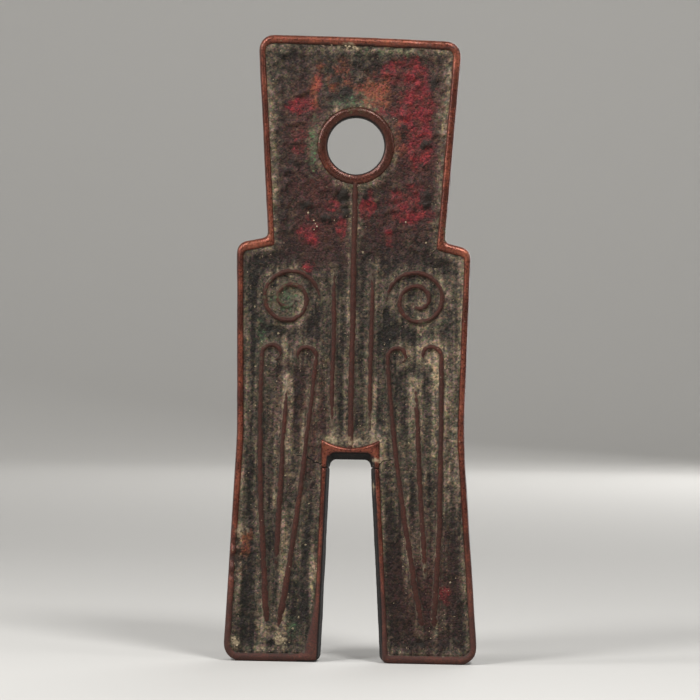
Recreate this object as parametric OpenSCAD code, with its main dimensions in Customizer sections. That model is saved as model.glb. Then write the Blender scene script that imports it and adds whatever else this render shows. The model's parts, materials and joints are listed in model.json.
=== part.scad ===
// Cast bronze spade coin: a pierced head, square shoulders and two legs inside a raised rim.
// Millimetres. It stands on its feet: X to the right, Z up the coin, and its face looks along -Y.

/* [Outline] */
// Length of the head, from the shoulders to its top edge
head_len = 18.6; // [15:0.05:25]
// Length of the body, from the crotch to the shoulders
body_len = 20.6; // [16:0.1:28]
// Length of the legs, from the feet to the crotch
leg_len = 18.7; // [12:0.1:26]
// Width of the head along its top edge
head_w = 19; // [17:0.1:22]
// Width of the head where it meets the shoulders
neck_w = 16.5; // [13:0.1:18]
// Width across the shoulders
shoulder_w = 21.8; // [20:0.1:26]
// Fall of each shoulder from the neck to its corner
shoulder_fall = 0.6; // [0.3:0.05:1.5]
// Drop of the right shoulder below the left one
shoulder_skew = 0.2; // [0:0.05:0.25]
// Width across the waist
waist_w = 21.1; // [18:0.1:26]
// Height of the waist above the crotch
waist_rise = 2.2; // [0.5:0.1:5]
// Width across both feet
feet_w = 23.7; // [21:0.1:28]
// Width of the gap between the legs at the crotch
gap_top_w = 3.7; // [2.8:0.1:5]
// Width of the gap between the legs at the feet
gap_foot_w = 5.5; // [3:0.1:7]
// Drop of the head's top edge from its left end to its right end
top_skew = 0.35; // [0:0.05:1]
// Swell of the head's top edge above a straight line
top_bow = 0.05; // [0:0.05:1]
// Sideways set of the body, with its ridge and hole, from the middle of the feet
body_shift = -0.38; // [-0.6:0.02:0.6]
// Sideways set of the head from the middle of the feet
head_shift = -0.15; // [-0.6:0.05:0.6]

/* [Corners] */
// Radius of the head's top corners
head_corner_r = 1.4; // [0.4:0.1:2]
// Radius of the hollow where the neck meets the shoulder
neck_r = 0.5; // [0.2:0.1:1]
// Radius of the shoulder corners
shoulder_r = 1.1; // [0.3:0.05:1.2]
// Radius of the bend at the waist
waist_r = 60; // [10:5:100]
// Radius of the feet's outer corners
outer_toe_r = 1.5; // [0.4:0.1:1.8]
// Radius of the feet's inner corners
inner_toe_r = 0.6; // [0.2:0.05:1]
// Radius of the corners at the top of the gap
crotch_r = 0.6; // [0.3:0.05:1.2]

/* [Rim] */
// Thickness of the coin over its rim
rim_t = 2.7; // [2.4:0.1:4]
// Thickness of the flat land round the coin's edge
land_t = 2; // [1.2:0.1:2.2]
// Width of the rim along the head's top edge
top_rim_w = 0.95; // [0.5:0.05:1.5]
// Width of the rim on the left side of the head
head_left_rim_w = 0.66; // [0.4:0.02:1.2]
// Width of the rim on the right side of the head
head_right_rim_w = 0.84; // [0.4:0.02:1.2]
// Width of the rim along the shoulders
shoulder_rim_w = 1; // [0.5:0.05:1.5]
// Width of the rim down the outer sides
side_rim_w = 0.7; // [0.4:0.02:1.2]
// Width of the rim under the feet
foot_rim_w = 0.84; // [0.4:0.02:1.4]
// Width of the rim down the inner sides of the legs
leg_rim_w = 0.82; // [0.6:0.02:1.2]
// Width of the bar over the gap, at its pointed ends
crotch_bar_w = 2; // [1.4:0.1:2.6]
// Hollow of the bar's upper edge below its pointed ends
crotch_bar_bow = 0.8; // [0:0.05:0.9]
// Reach of the bar's ends down the legs, below the corners of the gap
crotch_bar_drop = 0.1; // [0.05:0.05:1]
// Flare of the bar's pointed ends beyond the width of the legs' rim
horn_flare = 0.18; // [0:0.02:0.3]
// Place of the rim's crest across its width, from the edge
crest_share = 0.56; // [0.35:0.01:0.65]
// Place of the crest across the bar over the gap, from the gap
bar_crest_share = 0.62; // [0.4:0.01:0.7]
// Draft of the outer walls, by which the front edge lies inside the back edge
wall_draft = 0.08; // [0:0.02:0.2]
// Draft of the walls between the legs
leg_draft = 0.24; // [0:0.02:0.3]
// Draft of the wall under the bar over the gap
crotch_draft = 0.62; // [0:0.02:0.8]

/* [Field and hole] */
// Thickness of the sunken field
field_t = 1.65; // [1:0.05:2]
// Radius of the hole through the head
hole_r = 2.65; // [1.5:0.05:3.1]
// Radius of the raised collar round the hole
collar_r = 3.64; // [3.4:0.02:5]
// Thickness of the coin over the collar
collar_t = 2.6; // [2.3:0.1:3.6]
// Length of the straight wall inside the hole
bore_len = 1.9; // [1:0.1:2.2]
// Distance from the head's top edge down to the hole's centre
hole_drop = 10.05; // [7:0.05:11]

/* [Raised lines] */
// Width of the centre ridge
ridge_w = 0.54; // [0.3:0.02:1]
// Height of the centre ridge above the field
ridge_h = 0.42; // [0.2:0.02:0.5]
// Width of the ornament's lines
line_w = 0.48; // [0.3:0.02:0.7]
// Height of the ornament's lines above the field
line_h = 0.38; // [0.2:0.02:0.48]
// Distance from the centre ridge's middle to the middle of each flank line
flank_offset = 1.75; // [1.4:0.05:2.2]
// Distance from one turn of the whorl to the next
whorl_pitch = 1.25; // [1.05:0.05:1.6]
// Radius at the whorl's inner end
whorl_eye_r = 0.45; // [0.4:0.05:0.8]
// Clear field round the whorl, and between it and its neighbours
motif_gap = 0.8; // [0.5:0.05:1.2]
// Width of the hanging leaf between the middles of its two sides, at its curls
leaf_w = 5; // [4.4:0.1:5.6]
// Clear field between the leaf's two curls
curl_gap = 0.5; // [0.3:0.05:1]
// Swell of each of the leaf's sides beyond a straight line
leaf_bow = 0.3; // [0:0.05:0.6]
// Radius of the leaf's tip, to the middle of its line
leaf_tip_r = 0.55; // [0.45:0.05:1]
// Clear field between the leaf's tip and the foot's rim
leaf_foot_gap = 1.8; // [1:0.1:5]
// Distance from the leaf's tip to the lower end of its rib
rib_tip_gap = 5; // [4:0.5:8]
// Distance from the leaf's curls to the upper end of its rib
rib_curl_gap = 1.2; // [0.5:0.1:4]

/* [Hidden] */
$fn = 96;

// Colours of the worn rim, the crusted field and the raised lines
rim_colour = [0.36, 0.19, 0.14];
field_colour = [0.24, 0.22, 0.19];
line_colour = [0.31, 0.17, 0.13];

// Steps in a corner, a bowed edge, a quarter round of a rim, a line's section and a straight line
corner_steps = 5;
bow_steps = 8;
round_steps = 3;
section_steps = 6;
line_steps = 6;
// Least radius left on a corner of the rim's inner side
least_r = 0.08;
// Sine of the turn under which two edges count as one straight line
straight = 0.01;
// How far a cutter runs past each face that it cuts
overrun = 1;

// Levels up the coin
crotch_z = leg_len;
waist_z = crotch_z + waist_rise;
shoulder_z = crotch_z + body_len;
right_shoulder_z = shoulder_z - shoulder_skew;
top_z = shoulder_z + head_len;
hole_z = top_z - hole_drop;
// Level on the inner side of each leg where the crotch bar ends and the rim goes on
split_z = crotch_z - crotch_r - crotch_bar_drop;

// Half the width of the gap and of the legs, at a height
function gap_half_w(z) = (gap_foot_w + (gap_top_w - gap_foot_w) * z / crotch_z) / 2;
function leg_half_w(z) = (feet_w + (waist_w - feet_w) * z / waist_z) / 2;

// Sideways set of the coin at a height: the legs lean from the feet up to the waist
function sway(z) = z >= right_shoulder_z ? head_shift : body_shift * min(1, z / waist_z);
function swayed(p) = [p.x + sway(p.y), p.y];

// Corners of the outline, anticlockwise from the left end of the crotch bar: [place, radius].
// All but the shoulders and the top are even about the middle here. The two split points have no radius.
even_corners = [
    [[-gap_half_w(split_z), split_z], 0],
    [[-gap_top_w / 2, crotch_z], crotch_r],
    [[gap_top_w / 2, crotch_z], crotch_r],
    [[gap_half_w(split_z), split_z], 0],
    [[gap_foot_w / 2, 0], inner_toe_r],
    [[feet_w / 2, 0], outer_toe_r],
    [[waist_w / 2, waist_z], waist_r],
    [[shoulder_w / 2, right_shoulder_z - shoulder_fall], shoulder_r],
    [[neck_w / 2, right_shoulder_z], neck_r],
    [[head_w / 2, top_z - top_skew / 2], head_corner_r],
    [[-head_w / 2, top_z + top_skew / 2], head_corner_r],
    [[-neck_w / 2, shoulder_z], neck_r],
    [[-shoulder_w / 2, shoulder_z - shoulder_fall], shoulder_r],
    [[-waist_w / 2, waist_z], waist_r],
    [[-feet_w / 2, 0], outer_toe_r],
    [[-gap_foot_w / 2, 0], inner_toe_r]
];
corners = [for (c = even_corners) [swayed(c[0]), c[1]]];
// Edges from each corner to the next:
// [rim width, draft, outward bow of the edge, outward bow inside the rim, place of the crest]
leg_side = [leg_rim_w, leg_draft, 0, 0, crest_share];
bar_side = [leg_rim_w + horn_flare, leg_draft, 0, 0, crest_share];
foot = [foot_rim_w, 0, 0, 0, crest_share];
outer_side = [side_rim_w, wall_draft, 0, 0, crest_share];
shoulder = [shoulder_rim_w, wall_draft, 0, 0, crest_share];
edges = [
    bar_side,
    [crotch_bar_w, crotch_draft, 0, crotch_bar_bow, bar_crest_share],
    bar_side,
    leg_side,
    foot,
    outer_side,
    outer_side,
    shoulder,
    [head_right_rim_w, wall_draft, 0, 0, crest_share],
    [top_rim_w, wall_draft, top_bow, top_bow, crest_share],
    [head_left_rim_w, wall_draft, 0, 0, crest_share],
    shoulder,
    outer_side,
    outer_side,
    foot,
    leg_side
];
corner_count = len(corners);
bar_first = 0;
bar_last = 3;

function wrap(i) = (i + corner_count) % corner_count;
function cross2(a, b) = a.x * b.y - a.y * b.x;
function turned(v, angle) = [v.x * cos(angle) - v.y * sin(angle), v.x * sin(angle) + v.y * cos(angle)];

// Unit normal of edge i, pointing into the coin, and the direction of an edge with a given normal
function edge_normal(i) =
    let (d = corners[wrap(i + 1)][0] - corners[wrap(i)][0]) [-d.y, d.x] / norm(d);
function along(normal) = [normal.y, -normal.x];

// A share of the rim's width on an edge whose crest has its own place
function crested(share, crest) =
    share < crest_share ? share * crest / crest_share : 1 - (1 - share) * (1 - crest) / (1 - crest_share);

// How far edge i moves into the coin, at a share of the rim's width and of the draft
function inset(i, share, drafted) =
    let (e = edges[wrap(i)], start = drafted * e[1]) start + crested(share, e[4]) * (e[0] - start);

// Corner i moved into the coin with both its edges. Where these are in line, the narrower one counts.
function inset_corner(i, share, drafted) =
    let (
        a = edge_normal(i - 1),
        b = edge_normal(i),
        wa = inset(i - 1, share, drafted),
        wb = inset(i, share, drafted),
        c = cross2(a, b)
    )
    corners[wrap(i)][0]
        + (abs(c) < straight ? a * min(wa, wb) : [wa * b.y - wb * a.y, wb * a.x - wa * b.x] / c);

// The round of corner i. A hollow corner of the outline sharpens to a point inside the rim.
function corner_arc(i, share, drafted) =
    let (
        a = edge_normal(i - 1),
        b = edge_normal(i),
        p = inset_corner(i, share, drafted),
        r0 = corners[wrap(i)][1]
    )
    r0 == 0 ? [p] :
    let (
        bend = cross2(a, b) > 0 ? 1 : -1,
        angle = acos(min(1, a * b)),
        w = (inset(i - 1, share, drafted) + inset(i, share, drafted)) / 2,
        r = max(bend > 0 ? r0 - w : r0 * (1 - share), least_r),
        start = p - along(a) * r * tan(angle / 2),
        centre = start + bend * r * a
    )
    [for (k = [0:corner_steps]) centre - bend * r * turned(a, bend * angle * k / corner_steps)];

// Points on the bow of edge i, between the rounds at its two ends
function edge_bow(i, share, drafted) =
    let (e = edges[wrap(i)], bow = e[2] + crested(share, e[4]) * (e[3] - e[2]))
    e[2] == 0 && e[3] == 0 ? [] :
    let (
        from = corner_arc(i, share, drafted),
        a = from[len(from) - 1],
        b = corner_arc(i + 1, share, drafted)[0],
        out = -edge_normal(i)
    )
    [for (k = [1:bow_steps - 1]) let (t = k / bow_steps) a + (b - a) * t + out * bow * 4 * t * (1 - t)];

// A run of the outline from one corner to another, and the closed outline inside the rim
function outline_run(first, last, share, drafted) =
    [for (i = [first:last])
        each concat(corner_arc(i, share, drafted), i < last ? edge_bow(i, share, drafted) : [])];
function inner_outline() =
    [for (i = [0:corner_count - 1]) each concat(corner_arc(i, 1, 0), edge_bow(i, 1, 0))];

// Half section of a rim from its edge over the crest to the field: [share of its width, height].
// The edge's wall ends at edge_h, the crest lies at crest_h and the field at field_h.
function rounded_half(edge_h, crest_h, field_h) = concat(
    [for (k = [0:round_steps]) let (a = 90 * k / round_steps)
        [crest_share * (1 - cos(a)), edge_h + (crest_h - edge_h) * sin(a)]],
    [for (k = [1:round_steps]) let (a = 90 * k / round_steps)
        [crest_share + (1 - crest_share) * sin(a), field_h + (crest_h - field_h) * cos(a)]]
);
function reversed(list) = [for (k = [len(list) - 1:-1:0]) list[k]];

// Whole section of the rim: [share of its width, place through the thickness, draft], front face first
rim_half = rounded_half(land_t / 2, rim_t / 2, field_t / 2);
rim_section = concat(
    [for (p = rim_half) [p[0], -p[1], 1]],
    [for (p = reversed(rim_half)) [p[0], p[1], 0]]
);

// Solid skinned over rows of points, each row closed on itself and the first and last capped
module skinned(rows) {
    n = len(rows[0]);
    last = len(rows) - 1;
    sides = [for (i = [0:last - 1], j = [0:n - 1])
        let (a = i * n + j, b = i * n + (j + 1) % n) each [[a, b, a + n], [b, b + n, a + n]]];
    ends = [for (j = [1:n - 2]) each [[0, j + 1, j], [last * n, last * n + j, last * n + j + 1]]];
    polyhedron([for (row = rows) each row], concat(sides, ends));
}

// Rim along a run of the outline, with a flat end at the corners it runs between
module rim_run(first, last) {
    runs = [for (s = rim_section) outline_run(first, last, s[0], s[2])];
    skinned([for (i = [0:len(runs[0]) - 1])
        [for (j = [0:len(rim_section) - 1]) [runs[j][i].x, rim_section[j][1], runs[j][i].y]]]);
}

module outer_rim() {
    color(rim_colour) rim_run(bar_last, corner_count + bar_first);
}

module crotch_bar() {
    color(rim_colour) rim_run(bar_first, bar_last);
}

// Stands a shape drawn in the coin's plane upright, its third axis through the thickness
module upright() {
    rotate([90, 0, 0]) children();
}

// The same, about the hole
module at_hole() {
    translate([body_shift, 0, hole_z]) upright() children();
}

module field() {
    color(field_colour) difference() {
        upright() linear_extrude(field_t, center = true) polygon(inner_outline());
        at_hole() cylinder(r = collar_r, h = field_t + 2 * overrun, center = true);
    }
}

// The collar's section has the rim's rounded form, from the bore out to the field
collar_half = rounded_half(bore_len / 2, collar_t / 2, field_t / 2);
function collar_point(p, face) = [hole_r + (collar_r - hole_r) * p[0], face * p[1]];
module hole_collar() {
    section = concat(
        [for (p = collar_half) collar_point(p, 1)],
        [for (p = reversed(collar_half)) collar_point(p, -1)]
    );
    color(rim_colour) at_hole() rotate_extrude() polygon(section);
}

// Length of a path up to one of its points
function path_length(path, count) =
    count == 0 ? 0 : norm(path[count] - path[count - 1]) + path_length(path, count - 1);

// Mitred normal of a path at one of its points
function path_normal(path, i) =
    let (
        last = len(path) - 1,
        before = path[max(i, 1)] - path[max(i, 1) - 1],
        after = path[min(i, last - 1) + 1] - path[min(i, last - 1)],
        a = [-before.y, before.x] / norm(before),
        b = [-after.y, after.x] / norm(after)
    )
    (a + b) / (1 + a * b);

// Raised line with a round top along a path in the coin's plane, on face -1 (front) or 1 (back).
// Both ends thin to a share of the full size over the taper's length.
end_share = 0.4;
module raised_line(path, w, h, face, taper) {
    total = path_length(path, len(path) - 1);
    skinned([for (i = [0:len(path) - 1])
        let (
            from_end = min(path_length(path, i), total - path_length(path, i)),
            size = taper == 0 ? 1 : end_share + (1 - end_share) * min(1, from_end / taper),
            side = -face * path_normal(path, i) * size * w / 2
        )
        [for (k = [0:section_steps])
            let (a = 180 * k / section_steps, p = path[i] + side * cos(a))
            [p.x, face * (field_t / 2 + size * h * sin(a)), p.y]]]);
}

// A straight line in steps, and a path carried over to one side of the coin
function stepped(a, b) = [for (k = [0:line_steps]) a + (b - a) * k / line_steps];
function on_side(side, path) = [for (p = path) swayed([side * p.x, p.y])];

// The centre ridge runs from the collar down to the crotch bar
bar_top_z = crotch_z + crotch_bar_w - crotch_bar_bow;
module ridge(face) {
    path = [[body_shift, hole_z - collar_r], [body_shift, bar_top_z]];
    color(line_colour) raised_line(path, ridge_w, ridge_h, face, 0);
}

// The whorl fills the field between the flank line and the side rim, under the shoulder
whorl_inner = flank_offset + line_w + motif_gap;
whorl_outer = min(shoulder_w, waist_w) / 2 - side_rim_w - motif_gap - line_w / 2;
whorl_r = (whorl_outer - whorl_inner) / 2;
whorl_x = (whorl_inner + whorl_outer) / 2;
whorl_top_z = right_shoulder_z - shoulder_fall - shoulder_rim_w - motif_gap - line_w / 2;
whorl_z = whorl_top_z - whorl_r;
whorl_turn = 360 * (whorl_r - whorl_eye_r) / whorl_pitch;
whorl_step = 15;
whorl_steps = ceil(whorl_turn / whorl_step);
whorl_taper = 1.5;
function whorl_path() =
    [for (k = [0:whorl_steps])
        let (turn = whorl_turn * k / whorl_steps, r = whorl_r - whorl_pitch * turn / 360)
        [whorl_x - r * cos(turn), whorl_z + r * sin(turn)]];
module whorl(side) {
    color(line_colour) raised_line(on_side(side, whorl_path()), line_w, line_h, -1, whorl_taper);
}

// The flank line keeps beside the centre ridge, from the whorl's top to over the points of the crotch bar
flank_low_z = crotch_z + crotch_bar_w + motif_gap;
flank_taper = 1.5;
module flank_line(side) {
    path = stepped([flank_offset, whorl_top_z], [flank_offset, flank_low_z]);
    color(line_colour) raised_line(on_side(side, path), line_w, line_h, -1, flank_taper);
}

// The leaf hangs from under the whorl, down the middle of the leg
function leg_middle(z) = (gap_half_w(z) + leg_rim_w + leg_half_w(z) - side_rim_w) / 2;
leaf_tip_z = foot_rim_w + leaf_foot_gap + line_w / 2;
leaf_top_z = whorl_z - whorl_r - line_w - motif_gap;
leaf_tip = [leg_middle(leaf_tip_z), leaf_tip_z];
leaf_top = [leg_middle(leaf_top_z), leaf_top_z];
leaf_len = norm(leaf_top - leaf_tip);
leaf_up = (leaf_top - leaf_tip) / leaf_len;
leaf_across = [leaf_up.y, -leaf_up.x];
function on_leaf(across, up) = leaf_tip + leaf_across * across + leaf_up * up;

// One half of the leaf's line: a quarter round at its tip, a bowed side and a curl that tightens inwards
curl_r = (leaf_w - line_w - curl_gap) / 4;
curl_turn = 250;
curl_steps = 12;
curl_end_share = 0.55;
curl_taper = 1.2;
tip_steps = 3;
function leaf_half(side) = concat(
    [for (k = [1:tip_steps])
        let (a = 90 * k / (tip_steps + 1))
        on_leaf(side * leaf_tip_r * sin(a), leaf_tip_r * (1 - cos(a)))],
    [for (k = [0:bow_steps])
        let (t = k / bow_steps, bow = leaf_bow * 4 * t * (1 - t))
        on_leaf(
            side * (leaf_tip_r + (leaf_w / 2 - leaf_tip_r) * t + bow),
            leaf_tip_r + (leaf_len - curl_r - leaf_tip_r) * t)],
    [for (k = [1:curl_steps])
        let (t = k / curl_steps, r = curl_r * (1 - (1 - curl_end_share) * t))
        on_leaf(
            side * (leaf_w / 2 - curl_r + r * cos(curl_turn * t)),
            leaf_len - curl_r + r * sin(curl_turn * t))]
);
module leaf(side) {
    path = concat(reversed(leaf_half(-1)), [leaf_tip], leaf_half(1));
    color(line_colour) raised_line(on_side(side, path), line_w, line_h, -1, curl_taper);
}

// The leaf's rib lies on its middle line
rib_taper = 3;
module leaf_rib(side) {
    path = stepped(on_leaf(0, rib_tip_gap), on_leaf(0, leaf_len - 2 * curl_r - rib_curl_gap));
    color(line_colour) raised_line(on_side(side, path), line_w, line_h, -1, rib_taper);
}

outer_rim();
crotch_bar();
field();
hole_collar();
ridge(-1);  // front_ridge
ridge(1);  // back_ridge
flank_line(-1);  // left_flank_line
flank_line(1);  // right_flank_line
whorl(-1);  // left_whorl
whorl(1);  // right_whorl
leaf(-1);  // left_leaf
leaf(1);  // right_leaf
leaf_rib(-1);  // left_leaf_rib
leaf_rib(1);  // right_leaf_rib
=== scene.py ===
"""Dresses the solids of a cast spade coin as worn bronze with an old crusted field, on a plain stage."""

import json
import math
from functools import partial

import bmesh
import bpy
import numpy as np
from mathutils import Matrix, Vector

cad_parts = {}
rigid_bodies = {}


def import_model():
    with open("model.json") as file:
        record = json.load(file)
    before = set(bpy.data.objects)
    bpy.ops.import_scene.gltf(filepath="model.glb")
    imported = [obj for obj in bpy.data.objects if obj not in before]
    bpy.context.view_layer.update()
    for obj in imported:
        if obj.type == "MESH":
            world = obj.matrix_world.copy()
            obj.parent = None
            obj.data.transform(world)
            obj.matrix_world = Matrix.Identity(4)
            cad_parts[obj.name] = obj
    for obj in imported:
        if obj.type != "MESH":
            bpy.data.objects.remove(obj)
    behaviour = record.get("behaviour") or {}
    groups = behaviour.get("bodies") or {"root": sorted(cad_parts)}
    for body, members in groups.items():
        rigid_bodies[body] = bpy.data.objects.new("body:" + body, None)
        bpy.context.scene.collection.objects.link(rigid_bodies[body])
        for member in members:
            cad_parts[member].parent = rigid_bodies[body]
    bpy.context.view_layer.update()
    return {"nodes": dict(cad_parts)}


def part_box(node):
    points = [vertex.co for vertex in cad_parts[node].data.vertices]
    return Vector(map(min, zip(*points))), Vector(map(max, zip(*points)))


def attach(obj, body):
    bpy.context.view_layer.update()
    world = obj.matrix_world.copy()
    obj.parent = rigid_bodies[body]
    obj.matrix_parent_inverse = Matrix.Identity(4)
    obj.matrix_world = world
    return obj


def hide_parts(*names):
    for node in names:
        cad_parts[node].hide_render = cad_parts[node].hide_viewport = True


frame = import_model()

bl_info = {
    "name": "Cast Spade Coin",
    "version": (1, 0, 0),
    "blender": (4, 5, 0),
    "location": "3D View > Sidebar > Spade Coin",
    "description": "Gives a spade coin's solids their worn bronze, crusted field and soil",
    "category": "Object",
}

# The solids, as loaded, and the groups of like pieces among them
BODY = "root"
RIM_NODES = ("outer_rim", "crotch_bar", "hole_collar")
LINE_NODES = (
    "front_ridge", "back_ridge", "left_flank_line", "right_flank_line", "left_whorl", "right_whorl",
    "left_leaf", "right_leaf", "left_leaf_rib", "right_leaf_rib",
)
FIELD_NODE = "field"

# The meshes are worked in millimetres, because voxels and noise of this size are too small in metres
MM = 1000.0
FIELD_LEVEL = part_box(FIELD_NODE)[1].y * MM
RIM_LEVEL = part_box("outer_rim")[1].y * MM
COLLAR_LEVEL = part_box("hole_collar")[1].y * MM
LINE_LEVEL = -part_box("left_leaf")[0].y * MM
RIDGE_LEVEL = -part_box("front_ridge")[0].y * MM
# Middle of the gap between the legs, its top, and how far its walls lie from its middle at most
GAP_MIDDLE = (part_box("crotch_bar")[0].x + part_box("crotch_bar")[1].x) / 2 * MM
GAP_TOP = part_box("crotch_bar")[1].z * MM
GAP_REACH = 3.3
# Middle of the hole, and its radius
HOLE_X = (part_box("hole_collar")[0].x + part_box("hole_collar")[1].x) / 2 * MM
HOLE_Z = (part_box("hole_collar")[0].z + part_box("hole_collar")[1].z) / 2 * MM
HOLE_RADIUS = 2.65
# Distances past that radius between which the hole's wall ends
HOLE_EDGE = (0.04, 0.16)
COIN_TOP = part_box("outer_rim")[1].z * MM
# Where the head meets the shoulders
HEAD_FOOT = 39.3
# Points closer than this, in millimetres, are one point
WELD = 0.0005


def srgb(red, green, blue):
    """A colour given in display values from 0 to 255, as the linear RGBA that Blender's sockets take."""
    linear = []
    for value in (red, green, blue):
        share = value / 255
        linear.append(share / 12.92 if share <= 0.04045 else ((share + 0.055) / 1.055) ** 2.4)
    return (*linear, 1.0)


# Settings that a user would change


def length(name, description, default):
    return bpy.props.FloatProperty(
        name=name, description=description, default=default, min=0, precision=6, subtype="DISTANCE",
        unit="LENGTH")


def colour(name, description, *display_values):
    return bpy.props.FloatVectorProperty(
        name=name, description=description, default=srgb(*display_values), size=4, min=0, max=1,
        subtype="COLOR")


class CoinCastingSettings(bpy.types.PropertyGroup):
    """How finely the casting is drawn, and how uneven it is."""
    rim_voxel: length("Rim voxel", "Mesh size on the rim", 0.00012)
    collar_voxel: length("Collar voxel", "Mesh size on the collar and the crotch bar", 0.00008)
    line_voxel: length("Line voxel", "Mesh size on the raised lines", 0.00007)
    field_voxel: length("Field voxel", "Mesh size on the field", 0.00017)
    rim_wave: length("Rim wave", "Unevenness of the hand-finished rim", 0.00005)
    line_wobble: length("Line wobble", "Sideways wander of the lines that were cut in the mould", 0.00022)
    field_overlap: length("Field overlap", "Run of the field under the rim and the collar", 0.0003)
    ridge_overlap: length("Ridge overlap", "Run of the centre ridge into the collar and the bar", 0.0003)
    line_flare: length("Line flare", "Spread of each line's foot over the field", 0.0001)
    line_spread: length("Line spread", "Broadening of the lines that are worn flat down the legs", 0.00009)
    rim_cove_height: length("Rim cove height", "Rise of the field towards the rim and the collar", 0.00026)
    rim_cove_width: length("Rim cove width", "Distance over which the field rises to the rim", 0.001)
    line_cove_height: length("Line cove height", "Rise of the field towards the raised lines", 0.0001)
    line_cove_width: length("Line cove width", "Distance over which the field rises to the lines", 0.0008)
    grain_radius: length("Grain radius", "Radius of a large grain of soil", 0.00009)
    grain_density: bpy.props.FloatProperty(
        name="Grain density", description="Grains of soil for each square millimetre of corner",
        default=5.0, min=0)


class CoinFinishSettings(bpy.types.PropertyGroup):
    """Colours of the metal, its patina and what lies on it."""
    bronze: colour("Bronze", "Handled bronze of the rim", 96, 45, 32)
    bronze_dark: colour("Dark bronze", "Darker stretches of the rim", 68, 35, 26)
    bronze_worn: colour("Worn bronze", "Flat, dirty lines down the legs", 52, 30, 24)
    # Also the colour of the painted highlights on the top rim and a few corners
    bronze_bright: colour("Bright bronze", "Crests that are rubbed bright", 138, 78, 58)
    patina: colour("Patina", "Dark skin of the field", 34, 30, 26)
    patina_brown: colour("Brown patina", "Warmer parts of the field's skin", 62, 51, 43)
    soil: colour("Soil", "Dry soil that clings in the corners", 140, 124, 103)
    soil_dark: colour("Dark soil", "Thin, darker soil", 78, 69, 58)
    cuprite: colour("Red corrosion", "Crimson corrosion on the head", 110, 34, 39)
    cuprite_dark: colour("Dark red corrosion", "Darker parts of the crimson corrosion", 70, 38, 34)
    rust: colour("Orange corrosion", "Orange corrosion beside the hole", 128, 72, 52)
    verdigris: colour("Green corrosion", "Green corrosion in a few corners", 90, 106, 82)
    malachite: colour("Green specks", "Brighter specks of the green corrosion", 82, 118, 76)
    chalk: colour("Chalk", "Pale deposit in a few corners", 172, 154, 124)
    # Near-black for dirt in cracks and pits, and for painted shade on the inner walls and under the top rim
    grime_and_shade: colour("Grime", "Near-black dirt in cracks and pits", 20, 17, 15)


class CoinStageSettings(bpy.types.PropertyGroup):
    """Floor, lamps and camera."""
    floor: colour("Floor", "Colour of the floor and backdrop", 192, 190, 186)
    floor_radius: length("Floor radius", "Radius of the flat floor", 0.55)
    wall_radius: length("Wall radius", "Radius of the sweep from floor to wall", 0.3)
    wall_height: length("Wall height", "Height of the backdrop", 0.75)
    lens: bpy.props.FloatProperty(
        name="Lens", description="Focal length of the camera", default=180, min=20, subtype="DISTANCE_CAMERA")
    frame_width: length("Frame width", "Width of the view at the coin", 0.06496)
    roll: bpy.props.FloatProperty(
        name="Roll", description="Turn of the camera, by which the coin leans in the picture",
        default=math.radians(1.1), subtype="ANGLE", unit="ROTATION")


# Helpers for node trees. Those that take no tree find it by the sockets that they are given.

GEOMETRY = "NodeSocketGeometry"
FLOAT = "NodeSocketFloat"
INTEGER = "NodeSocketInt"
VECTOR = "NodeSocketVector"
COLOUR = "NodeSocketColor"
MATERIAL = "NodeSocketMaterial"
OBJECT = "NodeSocketObject"
# Takes the thickness out of a vector, so that it lies in the coin's plane
IN_PLANE = (1.0, 0.0, 1.0)


def is_socket(value):
    return isinstance(value, bpy.types.NodeSocket)


def tree_of(*values):
    return next(value.id_data for value in values if is_socket(value))


def feed(socket, value):
    """Links an input to another socket, or gives it a value of its own."""
    if is_socket(value):
        value.id_data.links.new(value, socket)
    else:
        socket.default_value = value


def fill(node, **inputs):
    """Feeds a node's inputs by name; underscores stand for spaces."""
    for key, value in inputs.items():
        feed(node.inputs[key.replace("_", " ")], value)


def add_node(tree, kind, inputs=None, **settings):
    """Adds a node, sets its properties, feeds its inputs by name or number, and gives its outputs."""
    made = tree.nodes.new(kind)
    for key, value in settings.items():
        setattr(made, key, value)
    for key, value in (inputs or {}).items():
        feed(made.inputs[key], value)
    return made.outputs


def maths(operation, *values, clamp=False):
    return add_node(
        tree_of(*values), "ShaderNodeMath", dict(enumerate(values)), operation=operation, use_clamp=clamp)[0]


def folded(operation, first, *others):
    """A sum or the like of any number of values. A socket is one of the first two."""
    for other in others:
        first = maths(operation, first, other)
    return first


plus = partial(folded, "ADD")
times = partial(folded, "MULTIPLY")
largest = partial(folded, "MAXIMUM")
minus = partial(maths, "SUBTRACT")
over = partial(maths, "DIVIDE")


def smooth_step(value, low, high):
    """A mask that goes from 0 at low to 1 at high."""
    return add_node(
        value.id_data, "ShaderNodeMapRange", {"Value": value, "From Min": low, "From Max": high},
        interpolation_type="SMOOTHSTEP")[0]


def fading(value, low, high):
    """A mask that goes from 1 at low to 0 at high."""
    return minus(1.0, smooth_step(value, low, high))


def centred(value, amount):
    """A value from 0 to 1, moved to lie evenly about nought, times an amount."""
    return times(minus(value, 0.5), amount)


def vector_maths(operation, *values, output=0):
    return add_node(
        tree_of(*values), "ShaderNodeVectorMath", dict(enumerate(values)), operation=operation)[output]


def scaled(vector, scale):
    return add_node(
        tree_of(vector, scale), "ShaderNodeVectorMath", {0: vector, "Scale": scale}, operation="SCALE")[0]


def about_nought(noise_colour):
    """The colour of a noise as a vector that lies evenly about nought."""
    return vector_maths("SUBTRACT", noise_colour, (0.5, 0.5, 0.5))


def parts(vector):
    return add_node(vector.id_data, "ShaderNodeSeparateXYZ", {0: vector})


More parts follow.
